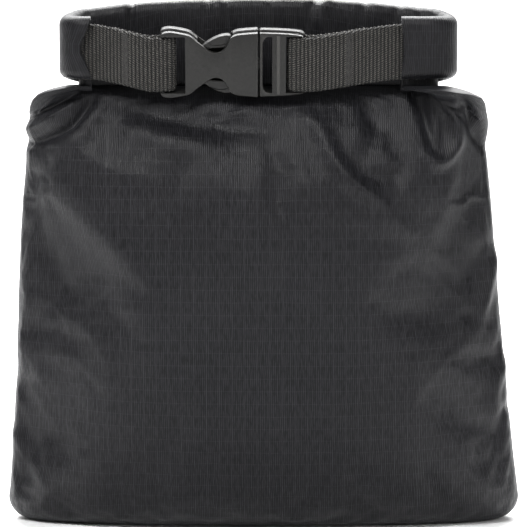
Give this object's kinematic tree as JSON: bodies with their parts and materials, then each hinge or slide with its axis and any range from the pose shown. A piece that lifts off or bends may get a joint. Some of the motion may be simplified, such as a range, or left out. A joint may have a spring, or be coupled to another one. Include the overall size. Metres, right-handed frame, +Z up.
{
  "type": "roll-top dry bag",
  "caption": "Small standing dry bag of coated cloth whose mouth is rolled down, bent round and held shut in front by webbing straps and a side-release buckle.",
  "frame": {"origin": "centre of the bounding box at the underside the bag stands on", "axes": "+Z up, -Y is the front with the buckle, +X is the viewer's right from the front; the buckle's plug pulls out along +X"},
  "size_m": [0.187, 0.0604, 0.1905],
  "materials": {
    "bag_cloth": "near-black coated ripstop nylon, soft satin",
    "seam_tape": "thin translucent sealing tape",
    "stiffener": "flexible strip",
    "webbing": "ribbed dark webbing",
    "buckle": "moulded, finely speckled"
  },
  "bodies": {
    "bag": {"front_panel": "bag_cloth", "back_panel": "bag_cloth", "seam_tape_left": "seam_tape", "seam_tape_right": "seam_tape", "seam_tape_bottom": "seam_tape", "mouth_roll": "bag_cloth", "mouth_stiffener": "stiffener", "strap_left": "webbing", "strap_right": "webbing", "buckle_socket": "buckle"},
    "plug": {"buckle_plug": "buckle"},
    "upper_arm": {"release_arm_upper": "buckle"},
    "lower_arm": {"release_arm_lower": "buckle"}
  },
  "joints": [
    {"name": "plug_release", "type": "slide", "parent": "bag", "child": "plug", "axis": [1, 0, 0], "range_m": [0, 0.023], "deforming": ["strap_right"]},
    {"name": "upper_arm_press", "type": "hinge", "parent": "plug", "child": "upper_arm", "pos_m": [-0.0019, -0.01927, 0.17559], "axis": [0, -0.9848, -0.1736], "range_deg": [0, 9], "stiffness_Nm_per_rad": 0.3, "deforming": ["release_arm_upper"]},
    {"name": "lower_arm_press", "type": "hinge", "parent": "plug", "child": "lower_arm", "pos_m": [-0.0019, -0.01673, 0.16121], "axis": [0, 0.9848, 0.1736], "range_deg": [0, 9], "stiffness_Nm_per_rad": 0.3, "deforming": ["release_arm_lower"]}
  ]
}
